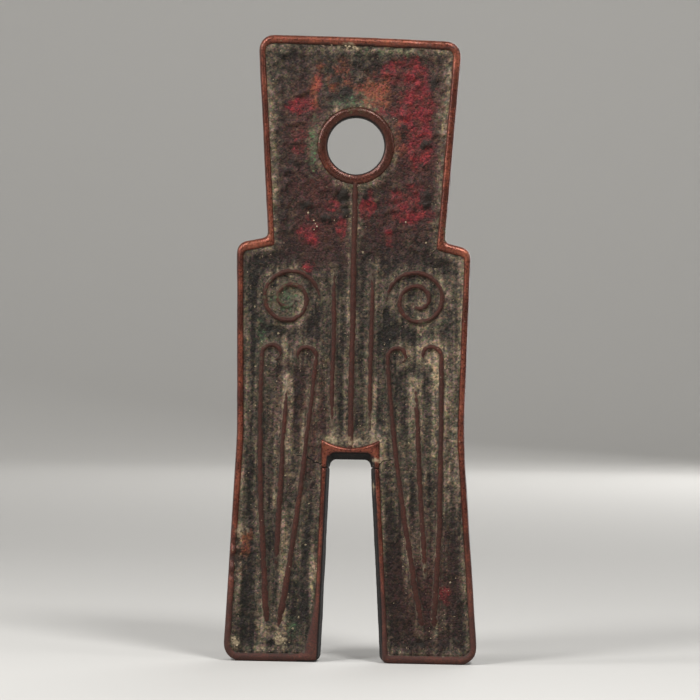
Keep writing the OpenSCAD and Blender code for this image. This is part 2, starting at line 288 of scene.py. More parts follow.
def noise(vector, size, detail=2.0, seed=0.0, output=0):
    """A noise of features about as wide as size, in millimetres; size and seed may be sockets."""
    scale = over(1.0, size) if is_socket(size) else 1 / size
    return add_node(
        vector.id_data, "ShaderNodeTexNoise", {"Vector": vector, "W": seed, "Scale": scale, "Detail": detail},
        noise_dimensions="4D")[output]


def mix_colour(share, first, second, blend="MIX"):
    return add_node(
        tree_of(share, first, second), "ShaderNodeMix", {0: share, 6: first, 7: second},
        data_type="RGBA", blend_type=blend)[2]


def layered(base, *layers):
    """A colour with others laid over it in turn. A layer is the shares of how it shows, then its colour."""
    for *shares, over_it in layers:
        base = mix_colour(times(*shares), base, over_it)
    return base


def made_once(store, name):
    """Marks a function that builds a node tree or a material, which is then built only once."""
    def mark(build):
        def found():
            made = getattr(bpy.data, store)
            return made[name] if name in made else build(name)
        return found
    return mark


def new_group(kind, name, inputs, outputs):
    """A node tree with named sockets. An input is given as its default number or as its socket type."""
    tree = bpy.data.node_groups.new(name, kind)
    numbers = {float: FLOAT, int: INTEGER}
    for label, given in inputs.items():
        socket_type = numbers.get(type(given), given)
        socket = tree.interface.new_socket(label, in_out="INPUT", socket_type=socket_type)
        if type(given) in numbers:
            socket.default_value = given
    for label, socket_type in outputs.items():
        tree.interface.new_socket(label, in_out="OUTPUT", socket_type=socket_type)
    entry = tree.nodes.new("NodeGroupInput").outputs
    leave = tree.nodes.new("NodeGroupOutput").inputs
    return tree, entry, leave


# Geometry node trees

# Share of its height that a raised line loses where it is worn flat, at the foot of a leg
WORN_LOSS = 0.3
# Heights between which the lines on the legs fade out, in millimetres, and how much faster they sink there
TIP_LOST = 1.5
TIP_WHOLE = 5.5
TIP_LOSS = 2.8
# How dull the rim is at the feet, as a share of a worn line
DULL_SHARE = 0.85
# How squarely a face looks into the gap, from where it starts to count as a wall to where it is one
WALL_FACING = (0.4, 0.8)
# How steeply a cove falls away from its rim or line
COVE_POWER = 1.5
# Noise between whose values a lump of crust rises
CRUST_EDGE = (0.5, 0.68)
# A random turn goes up to this angle about each axis
FULL_TURN = (6.28, 6.28, 6.28)


def geometry_group(name, inputs):
    inputs = {"Geometry": GEOMETRY, **inputs, "Material": MATERIAL}
    return new_group("GeometryNodeTree", name, inputs, {"Geometry": GEOMETRY})


def position_of(tree):
    return add_node(tree, "GeometryNodeInputPosition")[0]


def normal_of(tree):
    return add_node(tree, "GeometryNodeInputNormal")[0]


def uneven(position, entry, kind, detail):
    """A noise about nought, as high and as wide as a tree's inputs of that kind say."""
    return centred(noise(position, entry[kind + " Size"], detail, entry["Seed"]), entry[kind])


def through_coin(value):
    """A vector of that length along the coin's thickness."""
    return add_node(value.id_data, "ShaderNodeCombineXYZ", {"Y": value})[0]


def distance_to(shape):
    """How far each point is from the faces of an object."""
    tree = shape.id_data
    faces = add_node(tree, "GeometryNodeObjectInfo", {"Object": shape})["Geometry"]
    return add_node(tree, "GeometryNodeProximity", {0: faces}, target_element="FACES")["Distance"]


def named_value(tree, name):
    return add_node(tree, "GeometryNodeInputNamedAttribute", {"Name": name}, data_type="FLOAT")[0]


def store_values(geometry, **values):
    for name, value in values.items():
        geometry = add_node(
            geometry.id_data, "GeometryNodeStoreNamedAttribute",
            {"Geometry": geometry, "Name": name, "Value": value}, data_type="FLOAT", domain="POINT")[0]
    return geometry


def moved(geometry, offset):
    return add_node(geometry.id_data, "GeometryNodeSetPosition", {"Geometry": geometry, "Offset": offset})[0]


def random_vector(tree, low, high, seed):
    return add_node(
        tree, "FunctionNodeRandomValue", {0: low, 1: high, "Seed": seed}, data_type="FLOAT_VECTOR")[0]


def random_turn(tree, seed):
    return random_vector(tree, (0.0, 0.0, 0.0), FULL_TURN, seed)


def realised(geometry):
    return add_node(geometry.id_data, "GeometryNodeRealizeInstances", {0: geometry})[0]


def scattered(points, shape, turn, size):
    """A shape on every point, as a real mesh."""
    placed = add_node(points.id_data, "GeometryNodeInstanceOnPoints", {
        "Points": points, "Instance": shape, "Rotation": turn, "Scale": size})[0]
    return realised(placed)


def finish_tree(geometry, entry, leave):
    """Ends a tree: instances made real, shaded smooth and given its material."""
    tree = geometry.id_data
    smooth = add_node(tree, "GeometryNodeSetShadeSmooth", {"Geometry": realised(geometry)})[0]
    painted = add_node(tree, "GeometryNodeSetMaterial", {"Geometry": smooth, "Material": entry["Material"]})
    feed(leave["Geometry"], painted[0])
    return tree


@made_once("node_groups", "Cast skin")
def cast_skin_tree(name):
    """Turns a clean solid into a casting: a spread foot, a wandering line, slow waves and fine grit.

    It stores how far each point is from the field, how worn it is, and whether it lies on a wall of the
    gap or the hole, where the bronze gets painted shade.
    """
    tree, entry, leave = geometry_group(name, {
        "Field": OBJECT, "Field Level": FIELD_LEVEL, "Flare": 0.0, "Flare Height": 0.3,
        "Wobble": 0.0, "Wobble Size": 4.0, "Wave": 0.0, "Wave Size": 2.0, "Grit": 0.0, "Grit Size": 0.3,
        "Worn Height": 1.0, "Worn Below": 0.0, "Worn Spread": 0.0, "Dull Below": 0.0, "Seed": 0.0,
    })
    position = position_of(tree)
    normal = normal_of(tree)
    place = parts(position)
    above = minus(maths("ABSOLUTE", place["Y"]), entry["Field Level"])
    foot = minus(1.0, over(above, entry["Flare Height"]), clamp=True)
    low_down = fading(place["Z"], 0.0, entry["Worn Below"])
    spread = plus(times(maths("POWER", foot, 2.0), entry["Flare"]), times(low_down, entry["Worn Spread"]))
    lift = plus(uneven(position, entry, "Wave", 2.0), uneven(position, entry, "Grit", 3.0))
    flat_normal = vector_maths("MULTIPLY", normal, IN_PLANE)
    offset = vector_maths("ADD", scaled(flat_normal, spread), scaled(normal, lift))
    wander = noise(position, entry["Wobble Size"], 1.0, entry["Seed"], "Color")
    wander = vector_maths("MULTIPLY", about_nought(wander), IN_PLANE)
    offset = vector_maths("ADD", offset, scaled(wander, entry["Wobble"]))
    tip = fading(place["Z"], TIP_LOST, TIP_WHOLE)
    lost = times(plus(low_down, times(tip, TIP_LOSS)), minus(1.0, entry["Worn Height"]))
    sink = times(above, lost, maths("SIGN", place["Y"]), -1.0)
    offset = vector_maths("ADD", offset, through_coin(sink))
    dull = times(fading(place["Z"], 0.0, entry["Dull Below"]), DULL_SHARE)
    stored = store_values(
        entry["Geometry"],
        field_distance=distance_to(entry["Field"]),
        inner_wall=largest(gap_wall(place, normal), hole_wall(place)),
        worn=largest(over(lost, WORN_LOSS, clamp=True), dull))
    return finish_tree(moved(stored, offset), entry, leave)


def gap_wall(place, normal):
    """A mask of the faces between the legs that look at the gap's middle or down from its top, for painted
    shade.
    """
    facing = parts(normal)
    aside = minus(place["X"], GAP_MIDDLE)
    away = times(facing["X"], maths("SIGN", aside))
    turned = maths("MINIMUM", away, facing["Z"])
    wall = smooth_step(times(turned, -1.0), *WALL_FACING)
    between = maths("LESS_THAN", maths("ABSOLUTE", aside), GAP_REACH)
    return times(wall, between, maths("LESS_THAN", place["Z"], GAP_TOP))


def hole_wall(place):
    """A mask of the wall inside the hole, which ends at its rounded edges, for painted shade."""
    across = minus(place["X"], HOLE_X)
    up = minus(place["Z"], HOLE_Z)
    reach = maths("SQRT", plus(times(across, across), times(up, up)))
    return fading(reach, *(HOLE_RADIUS + past for past in HOLE_EDGE))


@made_once("node_groups", "Dished field")
def dished_field_tree(name):
    """Raises the field in a cove towards every rim and line, roughens it, and stores how far those are."""
    tree, entry, leave = geometry_group(name, {
        "Rims": OBJECT, "Rim Cove Height": 0.25, "Rim Cove Width": 0.9,
        "Lines": OBJECT, "Line Cove Height": 0.12, "Line Cove Width": 0.6,
        "Wave": 0.1, "Wave Size": 2.4, "Crust": 0.13, "Crust Size": 0.9,
        "Grit": 0.09, "Grit Size": 0.5, "Seed": 0.0,
    })
    position = position_of(tree)
    distances = []
    coves = []
    for relief in ("Rim", "Line"):
        near = distance_to(entry[relief + "s"])
        share = over(near, entry[relief + " Cove Width"])
        fall = maths("EXPONENT", times(maths("POWER", share, COVE_POWER), -1.0))
        coves.append(times(fall, entry[relief + " Cove Height"]))
        distances.append(near)
    nearest = maths("MINIMUM", *distances)
    crust = smooth_step(noise(position, entry["Crust Size"], 4.0, entry["Seed"]), *CRUST_EDGE)
    lumps = plus(times(crust, entry["Crust"]), uneven(position, entry, "Grit", 3.0))
    on_head = plus(1.0, smooth_step(parts(position)["Z"], HEAD_FOOT - 2.0, HEAD_FOOT + 2.0))
    lumps = plus(times(lumps, on_head), uneven(position, entry, "Wave", 3.0))
    lumps = times(lumps, smooth_step(nearest, 0.05, 0.55))
    lift = times(plus(largest(*coves), lumps), parts(normal_of(tree))["Y"])
    stored = store_values(entry["Geometry"], relief_distance=nearest)
    return finish_tree(moved(stored, through_coin(lift)), entry, leave)


@made_once("node_groups", "Soil grains")
def soil_grain_tree(name):
    """Scatters small lumps of soil over a field, thickest in the corners beside its rims and lines."""
    tree, entry, leave = geometry_group(name, {"Density": 4.0, "Radius": 0.08, "Reach": 1.1, "Seed": 3})
    away = named_value(tree, "relief_distance")
    corner = minus(1.0, over(away, entry["Reach"]), clamp=True)
    clumps = smooth_step(noise(position_of(tree), 1.4, 3.0), 0.42, 0.68)
    places = add_node(tree, "GeometryNodeDistributePointsOnFaces", {
        "Mesh": entry["Geometry"], "Density": times(corner, clumps, entry["Density"]), "Seed": entry["Seed"],
    }, distribute_method="RANDOM")["Points"]
    lump = add_node(tree, "GeometryNodeMeshIcoSphere", {"Radius": entry["Radius"], "Subdivisions": 1})[0]
    size = random_vector(tree, (0.3, 0.3, 0.3), (1.0, 1.0, 1.0), 5)
    return finish_tree(scattered(places, lump, random_turn(tree, 8), size), entry, leave)


@made_once("node_groups", "Pale crumbs")
def crumb_tree(name):
    """Puts a rough crumb on every point of a mesh, as large as the point's own size."""
    tree, entry, leave = geometry_group(name, {"Roughness": 0.35, "Seed": 2})
    points = add_node(tree, "GeometryNodeMeshToPoints", {"Mesh": entry["Geometry"]}, mode="VERTICES")[0]
    ball = add_node(tree, "GeometryNodeMeshIcoSphere", {"Radius": 1.0, "Subdivisions": 2})[0]
    squash = random_vector(tree, (0.7, 0.6, 0.7), (1.2, 0.9, 1.2), entry["Seed"])
    size = scaled(squash, named_value(tree, "size"))
    crumbs = scattered(points, ball, random_turn(tree, entry["Seed"]), size)
    lumps = scaled(about_nought(noise(position_of(tree), 0.1, 1.0, output="Color")), 0.12)
    return finish_tree(moved(crumbs, scaled(lumps, entry["Roughness"])), entry, leave)


# Shader node groups

# Grains whose chance lies above this are sparks
SPARK_CHANCE = 0.9985
# How much the dust is drawn out down the coin, in drifts and in streaks
DRIFT_RUN = (1.0, 1.0, 0.3)
STREAK_RUN = (1.0, 1.0, 0.05)
# How strong a patch has to be, with its noise, to show
PATCH_LEVEL = 0.6
# How far grains and pits raise the light on the bronze and on the field, in millimetres
BRONZE_BUMP = 0.012
FIELD_BUMP = 0.05


def shader_group(name, inputs, outputs):
    return new_group("ShaderNodeTree", name, {"Vector": VECTOR, **inputs}, outputs)


@made_once("node_groups", "Grain")
def grain_group(name):
    """Grains that each have a shade and a hue of their own.

    It gives a tint to multiply a colour by, the grains' height, and a few sparks among them.
    """
    tree, entry, leave = shader_group(
        name, {"Size": 0.17, "Shade Range": 0.8, "Hue Range": 0.3},
        {"Tint": COLOUR, "Height": FLOAT, "Spark": FLOAT})
    cells = add_node(
        tree, "ShaderNodeTexVoronoi", {"Vector": entry["Vector"], "Scale": over(1.0, entry["Size"])})
    hue = scaled(about_nought(cells["Color"]), entry["Hue Range"])
    hue = vector_maths("ADD", hue, (1.0, 1.0, 1.0))
    clump = noise(entry["Vector"], entry["Size"])
    chance = add_node(tree, "ShaderNodeSeparateColor", {0: cells["Color"]})
    own = plus(times(chance["Red"], 0.6), times(clump, 0.4))
    shade = plus(1.0, centred(own, entry["Shade Range"]))
    feed(leave["Tint"], scaled(hue, shade))
    feed(leave["Height"], minus(own, cells["Distance"]))
    feed(leave["Spark"], maths("GREATER_THAN", chance["Green"], SPARK_CHANCE))
    return tree


@made_once("node_groups", "Dust")
def dust_group(name):
    """How thick the dust lies, from 0 to 1: in drifts and streaks that run down the coin, about Amount."""
    tree, entry, leave = shader_group(name, {"Amount": 0.5, "Drift Size": 1.2}, {"Level": FLOAT})
    vector = entry["Vector"]
    drift = noise(vector_maths("MULTIPLY", vector, DRIFT_RUN), entry["Drift Size"], 4.0, 3.0)
    streak = noise(vector_maths("MULTIPLY", vector, STREAK_RUN), 0.55, 2.0, 8.0)
    below_head = minus(1.1, smooth_step(parts(vector)["Z"], HEAD_FOOT - 3.0, HEAD_FOOT))
    cloud = noise(vector, 0.5, 2.0, 5.0)
    level = plus(centred(drift, 1.1), times(centred(streak, 1.3), below_head), centred(cloud, 1.0))
    feed(leave["Level"], maths("ADD", level, entry["Amount"], clamp=True))
    return tree


@made_once("node_groups", "Blotch")
def blotch_group(name):
    """Ragged blotches where a painted patch is strong: a mask from the patch's value and two noises."""
    tree, entry, leave = shader_group(
        name, {"Patch": 0.0, "Size": 1.2, "Softness": 1.0, "Seed": 0.0}, {"Mask": FLOAT})
    broad = noise(entry["Vector"], entry["Size"], 5.0, entry["Seed"])
    fine = noise(entry["Vector"], 0.26, 3.0, entry["Seed"])
    ragged = plus(centred(broad, 2.4), centred(fine, 0.5))
    half = times(entry["Softness"], 0.5)
    cover = smooth_step(plus(entry["Patch"], ragged), minus(PATCH_LEVEL, half), plus(PATCH_LEVEL, half))
    feed(leave["Mask"], times(cover, smooth_step(entry["Patch"], 0.0, 0.25)))
    return tree


def use_group(group, **inputs):
    """Places a shader node group; underscores in the names stand for spaces."""
    named = {key.replace("_", " "): value for key, value in inputs.items()}
    return add_node(tree_of(*inputs.values()), "ShaderNodeGroup", named, node_tree=group)


# Materials


def new_material(name):
    """A material with its shader, and its object coordinates in millimetres."""
    material = bpy.data.materials.new(name)
    material.use_nodes = True
    tree = material.node_tree
    shader = tree.nodes["Principled BSDF"]
    place = add_node(tree, "ShaderNodeTexCoord")["Object"]
    vector = add_node(tree, "ShaderNodeMapping", {"Vector": place, "Scale": (MM, MM, MM)})[0]
    return material, tree, shader, vector


def attribute(tree, name):
    return add_node(tree, "ShaderNodeAttribute", attribute_name=name)["Fac"]


def bump(shader, height, distance_mm):
    made = add_node(
        height.id_data, "ShaderNodeBump", {"Strength": 1.0, "Distance": distance_mm / MM, "Height": height})
    feed(shader.inputs["Normal"], made[0])


def blotches(vector, patch, size, seed, softness=1.0):
    """Ragged blotches of one of the patches that are painted on the meshes."""
    strength = attribute(vector.id_data, patch)
    return use_group(
        blotch_group(), Vector=vector, Patch=strength, Size=size, Softness=softness, Seed=seed)["Mask"]


def dust_colour(level):
    """From the dark skin through brown to pale dry soil, as the dust thickens."""
    finish = bpy.context.scene.coin_finish
    thin = mix_colour(smooth_step(level, 0.0, 0.55), finish.patina, finish.soil_dark)
    return mix_colour(smooth_step(level, 0.4, 1.0), thin, finish.soil)


def tinted(base, tint):
    return mix_colour(1.0, base, tint, "MULTIPLY")


def green_specks(vector):
    """Two layers of green corrosion: a pale haze, and ragged specks in it."""
    finish = bpy.context.scene.coin_finish
    haze = blotches(vector, "verdigris", 0.5, 3.0)
    specks = smooth_step(noise(vector, 0.24, 2.0, 12.0), 0.5, 0.66)
    return (haze, 0.35, finish.verdigris), (haze, specks, 0.75, finish.malachite)


def bronze_material(name, top_level, foot_reach, darkness, gloss):
    """Handled bronze: mottled brown, rubbed bright on the crest, dusty at its foot, painted shade on the
    inner walls.
    """
    if name in bpy.data.materials:
        return bpy.data.materials[name]
    finish = bpy.context.scene.coin_finish
    material, tree, shader, vector = new_material(name)
    height = maths("ABSOLUTE", parts(vector)["Y"])
    fine = noise(vector, 0.22, 3.0, 2.0)
    mottle = plus(noise(vector, 2.2, 4.0), centred(fine, 0.6))
    shade = smooth_step(mottle, 0.2 + darkness, 0.75 + darkness)
    crest = smooth_step(height, top_level - 0.3, top_level)
    rubbed = times(crest, smooth_step(mottle, 0.42 + darkness, 0.8 + darkness))
    # Painted highlight: bright bronze laid on the top rim, the head's upper corners and the shoulders
    painted_highlight = times(attribute(tree, "painted_highlight"), smooth_step(mottle, 0.2, 0.6))
    side = fading(height, top_level - 0.55, top_level - 0.25)
    skin = times(smooth_step(noise(vector, 1.6, 5.0, 10.0), 0.42, 0.6), side, 0.8)
    worn = attribute(tree, "worn")
    low, high = foot_reach
    clods = noise(vector, 0.4, 4.0, 6.0)
    unevenness = plus(high - low, times(worn, 0.5))
    ragged = plus(attribute(tree, "field_distance"), centred(clods, unevenness))
    foot = fading(minus(ragged, times(worn, 0.08)), low, high)
    level = use_group(dust_group(), Vector=vector, Amount=times(foot, 0.45))["Level"]
    # Painted shade: the walls of the gap and the hole and the faces under the crotch bar are laid near-black,
    # broken by clods
    wall = attribute(tree, "inner_wall")
    wall_shade = minus(0.98, centred(smooth_step(clods, 0.48, 0.62), 0.35))
    grain = use_group(grain_group(), Vector=vector, Size=0.12, Shade_Range=0.55, Hue_Range=0.2)
    pale = blotches(vector, "chalk", 0.4, 5.0)
    # Dark crust, pits and the eaten rim, and a painted shadow in a band under the top rim
    dark = blotches(vector, "grime_and_shade", 0.7, 4.0)
    base = layered(
        mix_colour(shade, finish.bronze_dark, finish.bronze),
        (rubbed, finish.bronze_bright),
        (painted_highlight, finish.bronze_bright),
        (0.6 * darkness, finish.patina_brown),
        (skin, finish.patina_brown),
        (worn, 0.88, finish.bronze_worn),
        (foot, 0.85, dust_colour(level)),
        (wall, wall_shade, finish.grime_and_shade))
    base = layered(
        tinted(base, grain["Tint"]),
        (grain["Spark"], 0.5, finish.soil),
        *green_specks(vector),
        (pale, 0.8, finish.chalk),
        (dark, 0.85, finish.grime_and_shade))
    covered = largest(foot, dark, pale, worn, wall, skin, times(side, 0.5))
    clean = minus(1.0, covered, clamp=True)
    rough = plus(minus(0.85, times(clean, 0.55)), times(wall, 0.2), centred(fine, 0.25))
    fill(shader, Base_Color=base, Metallic=times(clean, 0.5), Roughness=rough, Specular_IOR_Level=gloss)
    bump(shader, plus(fine, grain["Height"]), BRONZE_BUMP)
    return material


@made_once("materials", "field_patina")
def field_material(name):
    """The field: dark patina under dry soil, with red, orange and green corrosion, pits, cracks, and a
    painted shadow under the top rim.
    """
    finish = bpy.context.scene.coin_finish
    material, tree, shader, vector = new_material(name)
    place = parts(vector)
    red = blotches(vector, "cuprite", 1.8, 1.0, 0.45)
    orange = blotches(vector, "rust", 1.1, 2.0, 0.8)
    pale = blotches(vector, "chalk", 0.4, 5.0)
    # Dark lumps of crust, and a painted shadow in a band under the top rim
    dark = blotches(vector, "grime_and_shade", 0.5, 4.0, 0.5)
    corner = fading(attribute(tree, "relief_distance"), 0.1, 1.0)
    bare = largest(red, orange, attribute(tree, "bare"))
    behind = maths("GREATER_THAN", place["Y"], 0.0)
    amount = plus(times(corner, 0.37), 0.05, times(attribute(tree, "soil"), 0.3))
    amount = plus(minus(amount, times(bare, 0.2)), times(behind, 0.24))
    level = use_group(dust_group(), Vector=vector, Amount=amount)["Level"]
    show = fading(level, 0.3, 0.8)
    deep = smooth_step(noise(vector, 0.9, 5.0, 4.0), 0.35, 0.65)
    grain = use_group(grain_group(), Vector=vector, Size=0.17, Shade_Range=1.35, Hue_Range=0.35)
    below_head = maths("LESS_THAN", place["Z"], HEAD_FOOT)
    pits = smooth_step(noise(vector, 0.4, 3.0, 7.0), 0.55, 0.72)
    base = layered(
        dust_colour(level),
        (attribute(tree, "stain"), show, 0.75, finish.cuprite_dark),
        (red, show, 0.78, mix_colour(deep, finish.cuprite_dark, finish.cuprite)),
        (orange, 0.6, finish.rust))
    base = layered(
        tinted(base, grain["Tint"]),
        (grain["Spark"], below_head, 0.5, finish.chalk),
        *green_specks(vector),
        (pits, 0.5, finish.grime_and_shade),
        (pale, 0.8, finish.chalk),
        (crack_mask(vector), finish.grime_and_shade),
        (dark, 0.9, finish.patina))
    fill(shader, Base_Color=base, Roughness=plus(0.55, times(level, 0.35)), Specular_IOR_Level=0.15)
    relief = minus(plus(grain["Height"], times(level, 1.5)), times(pits, 0.8))
    bump(shader, relief, FIELD_BUMP)
    return material


def crack_mask(vector):
    """Dark lines where the casting is cracked, with a little raggedness."""
    ragged = scaled(about_nought(noise(vector, 0.5, 3.0, 9.0, "Color")), 0.35)
    shaken = vector_maths("MULTIPLY", vector_maths("ADD", vector, ragged), IN_PLANE)
    lines = []
    for points, half_w in CRACKS:
        places = [Vector((x, 0, z)) for x, z in points]
        for start, end in zip(places, places[1:]):
            run = end - start
            gone = vector_maths("SUBTRACT", shaken, start)
            along = vector_maths("DOT_PRODUCT", gone, run, output="Value")
            along = over(along, run.length_squared, clamp=True)
            aside = vector_maths("SUBTRACT", gone, scaled(run, along))
            away = vector_maths("LENGTH", aside, output="Value")
            lines.append(fading(away, half_w * 0.5, half_w))
    return largest(*lines)


def loose_material(name, size, detail, dark, pale, roughness, gloss):
    """Loose dirt in two colours, in blotches about as wide as size."""
    if name in bpy.data.materials:
        return bpy.data.materials[name]
    material, _, shader, vector = new_material(name)
    share = smooth_step(noise(vector, size, detail), 0.35, 0.65)
    fill(shader, Base_Color=mix_colour(share, dark, pale), Roughness=roughness, Specular_IOR_Level=gloss)
    return material


# Places on the face, in millimetres from the middle of the feet: (x, z, half width, half height, strength)
PATCHES = {
    "cuprite": (
        (4.1, 54.6, 1.6, 1.1, 1.3), (5.15, 51.6, 1.5, 1.7, 1.3), (5.45, 48.3, 1.1, 1.9, 1.2),
        (5.25, 45.9, 0.8, 0.45, 0.8), (4.6, 42.4, 1.5, 1.3, 1.4), (2.75, 39.7, 0.45, 0.8, 0.8),
        (-5.55, 51.4, 0.95, 0.6, 1.1), (-4.15, 53.1, 0.4, 1.3, 0.6), (-5.7, 48.55, 0.8, 1.5, 0.6),
        (-4.45, 44.3, 1.1, 0.8, 0.65), (-2.5, 42.2, 0.65, 0.4, 1.2), (-1.55, 40.35, 0.4, 1.3, 1.2),
        (0.7, 42.0, 0.65, 0.95, 1.3), (-4.6, 39.55, 1.1, 1.0, 0.8), (1.6, 50.95, 0.7, 0.4, 0.7),
        (-4.2, 36.6, 0.6, 1.0, 0.5), (8.15, 6.4, 0.8, 0.8, 0.58),
    ),
    "stain": (
        (5.0, 49.0, 2.5, 5.5, 0.9), (-5.2, 49.5, 1.6, 3.5, 0.8), (-4.0, 43.5, 2.2, 2.2, 0.8),
        (-3.5, 40.0, 2.6, 2.4, 0.7), (3.5, 41.0, 3.0, 2.4, 0.6), (-3.9, 23.0, 1.0, 4.0, 0.6),
        (-6.5, 23.0, 0.8, 4.0, 0.4), (6.8, 7.0, 2.4, 4.5, 0.5),
    ),
    "rust": (
        (-10.2, 10.7, 0.7, 1.2, 0.8), (1.35, 52.7, 1.2, 1.2, 1.0), (-4.15, 53.1, 0.45, 1.3, 0.8),
        (-2.25, 54.3, 1.3, 1.1, 0.5), (3.3, 48.6, 0.8, 1.4, 0.4),
    ),
    "verdigris": (
        (-8.6, 39.6, 0.35, 0.4, 0.7), (8.1, 40.0, 0.25, 0.8, 0.8), (-4.38, 47.6, 0.4, 1.9, 0.75),
        (2.3, 56.5, 2.5, 0.35, 0.5), (-0.68, 51.9, 1.8, 0.7, 0.5), (-6.58, 33.8, 1.3, 1.0, 0.6),
        (-8.88, 30.2, 0.5, 2.2, 0.3), (-5.48, 3.2, 0.5, 0.7, 0.6), (6.52, 31.0, 1.2, 1.2, 0.25),
    ),
    "soil": (
        (-0.28, 20.8, 2.6, 0.9, 1.0), (-10.28, 10.0, 0.5, 2.0, 1.0), (-7.88, 26.0, 1.8, 6.0, 0.1),
        (8.02, 27.0, 1.6, 7.0, 1.0), (-6.28, 13.0, 3.0, 7.0, 0.2), (4.12, 12.0, 1.4, 7.0, 0.15),
        (-8.0, 50.0, 0.9, 6.5, 0.75), (-6.6, 54.0, 2.6, 2.6, 0.45), (-0.3, 56.4, 6.5, 0.6, 0.5),
        (-0.3, 48.0, 7.5, 8.0, 0.3), (7.4, 49.0, 0.6, 7.0, 0.6), (-1.2, 57.0, 0.8, 0.3, 1.0),
        (-6.48, 2.0, 1.2, 0.7, 0.9), (-10.68, 1.8, 0.6, 0.7, 0.8),
    ),
    # Painted highlights on the top rim, the head's upper corners and the shoulders
    "painted_highlight": (
        (-0.3, 57.8, 9.0, 0.5, 0.8), (8.7, 56.4, 0.6, 1.4, 1.0), (-9.2, 56.6, 0.5, 1.3, 0.8),
        (-10.6, 38.5, 1.2, 0.5, 0.8), (10.0, 38.3, 1.2, 0.5, 0.8),
    ),
    "bare": (
        (-1.4, 28.0, 0.6, 5.5, 1.0), (6.3, 8.0, 2.6, 5.5, 0.9), (-7.5, 8.0, 2.2, 5.0, 0.3),
        (2.9, 29.0, 0.5, 5.0, 0.5),
    ),
    "chalk": (
        (0.4, 18.45, 0.4, 0.15, 0.9), (1.75, 16.2, 0.15, 0.4, 0.9), (-1.2, 57.0, 0.7, 0.25, 0.9),
        (0.22, 20.6, 0.9, 0.35, 0.7), (-1.68, 20.6, 0.8, 0.35, 0.4), (2.02, 18.75, 0.3, 0.14, 1.0),
        (2.62, 18.85, 0.4, 0.12, 0.7), (-6.58, 2.1, 0.5, 0.45, 0.6), (-6.18, 1.6, 0.4, 0.3, 0.4),
        (-10.68, 1.7, 0.3, 0.45, 0.65), (-10.28, 12.2, 0.4, 0.5, 0.5),
    ),
    # Dark lumps of crust, pits and the eaten rim; the long thin band under the top rim is a painted shadow
    "grime_and_shade": (
        (6.15, 42.95, 0.45, 0.75, 1.3), (-1.42, 43.2, 0.4, 0.55, 1.3), (-1.25, 41.9, 0.28, 0.7, 1.1),
        (6.1, 48.15, 0.42, 0.32, 1.2), (4.0, 49.2, 0.6, 0.8, 0.75), (6.65, 53.65, 0.4, 0.7, 0.9),
        (-5.9, 46.2, 0.5, 0.4, 0.8), (0.5, 43.1, 0.28, 0.5, 0.9), (-4.9, 42.3, 0.6, 0.4, 0.9),
        (-3.0, 41.1, 0.5, 0.35, 0.9), (-0.28, 57.0, 8.0, 0.22, 0.75), (-10.58, 10.0, 0.5, 1.6, 0.9),
        (6.32, 1.9, 0.5, 0.35, 0.9), (7.32, 2.2, 0.35, 0.3, 0.8),
    ),
}

# The unseen back has the same patches upside down, at this sum of heights, and weaker
BACK_TURN = 62.0
BACK_SHARE = 0.7

# Cracks in the casting beside the crotch bar, as points (x, z) and half a width
CRACKS = (
    (((-5.28, 19.1), (-4.48, 19.0), (-3.78, 18.65), (-2.58, 18.1)), 0.075),
    (((2.02, 18.1), (2.72, 18.75), (3.52, 18.85)), 0.055),
)

# How sharply a lump's or pit's side falls off
LUMP_EDGE = 2.5
# Lumps, and pits where the height is negative, on the face of the field: (x, z, radius, height)
FIELD_MARKS = (
    (6.15, 43.3, 0.45, 0.24), (6.12, 42.6, 0.42, 0.22), (-1.42, 43.3, 0.42, 0.32),
    (-1.3, 42.4, 0.3, 0.24), (-1.25, 41.6, 0.28, 0.2), (6.12, 48.15, 0.38, 0.26), (4.0, 49.4, 0.5, 0.16),
    (-5.9, 46.2, 0.4, 0.24), (-5.2, 42.7, 0.3, 0.26), (-4.75, 42.3, 0.34, 0.3), (-3.3, 41.2, 0.3, 0.24),
    (-2.8, 41.1, 0.35, 0.3), (0.5, 43.3, 0.25, 0.2), (0.35, 42.6, 0.22, 0.18), (-6.58, 2.0, 0.6, 0.16),
    (-10.58, 1.6, 0.5, 0.18), (6.32, 1.9, 0.3, -0.14), (7.22, 2.2, 0.25, -0.14), (5.62, 3.4, 0.22, -0.1),
    (6.72, 5.2, 0.25, -0.08), (-10.23, 10.4, 0.45, 0.16), (-10.13, 8.6, 0.4, 0.18),
    (-10.28, 11.8, 0.5, 0.14),
)
# The same on the face of the rim, where it is eaten away
RIM_MARKS = (
    (-10.88, 10.9, 0.45, -0.22), (-10.83, 9.4, 0.6, -0.3), (-11.03, 8.0, 0.4, -0.18),
    (10.72, 21.5, 0.5, -0.08), (-9.48, 45.0, 0.6, -0.07), (5.72, 57.6, 0.7, -0.07),
    (-11.68, 3.6, 0.5, -0.1),
)
# Crumbs of pale soil and quartz on the field: (x, z, radius)
CRUMBS = (
    (-4.68, 41.55, 0.13), (-4.14, 40.85, 0.09), (-3.85, 40.3, 0.1), (-4.0, 40.55, 0.06),
    (-2.25, 40.9, 0.07), (4.36, 40.85, 0.09), (-4.1, 40.0, 0.06), (-1.5, 57.05, 0.1),
    (-1.15, 57.0, 0.13), (-2.8, 57.1, 0.08), (-10.48, 1.45, 0.12), (-10.68, 2.0, 0.09),
    (-6.48, 2.3, 0.12), (-6.08, 1.7, 0.1), (6.8, 54.5, 0.07), (-8.28, 14.0, 0.07), (4.72, 9.0, 0.07),
    (3.92, 5.6, 0.08), (8.62, 27.5, 0.06), (8.82, 24.0, 0.06),
)


# Meshes

TO_MM = Matrix.Scale(MM, 4)
TO_METRES = Matrix.Scale(1 / MM, 4)


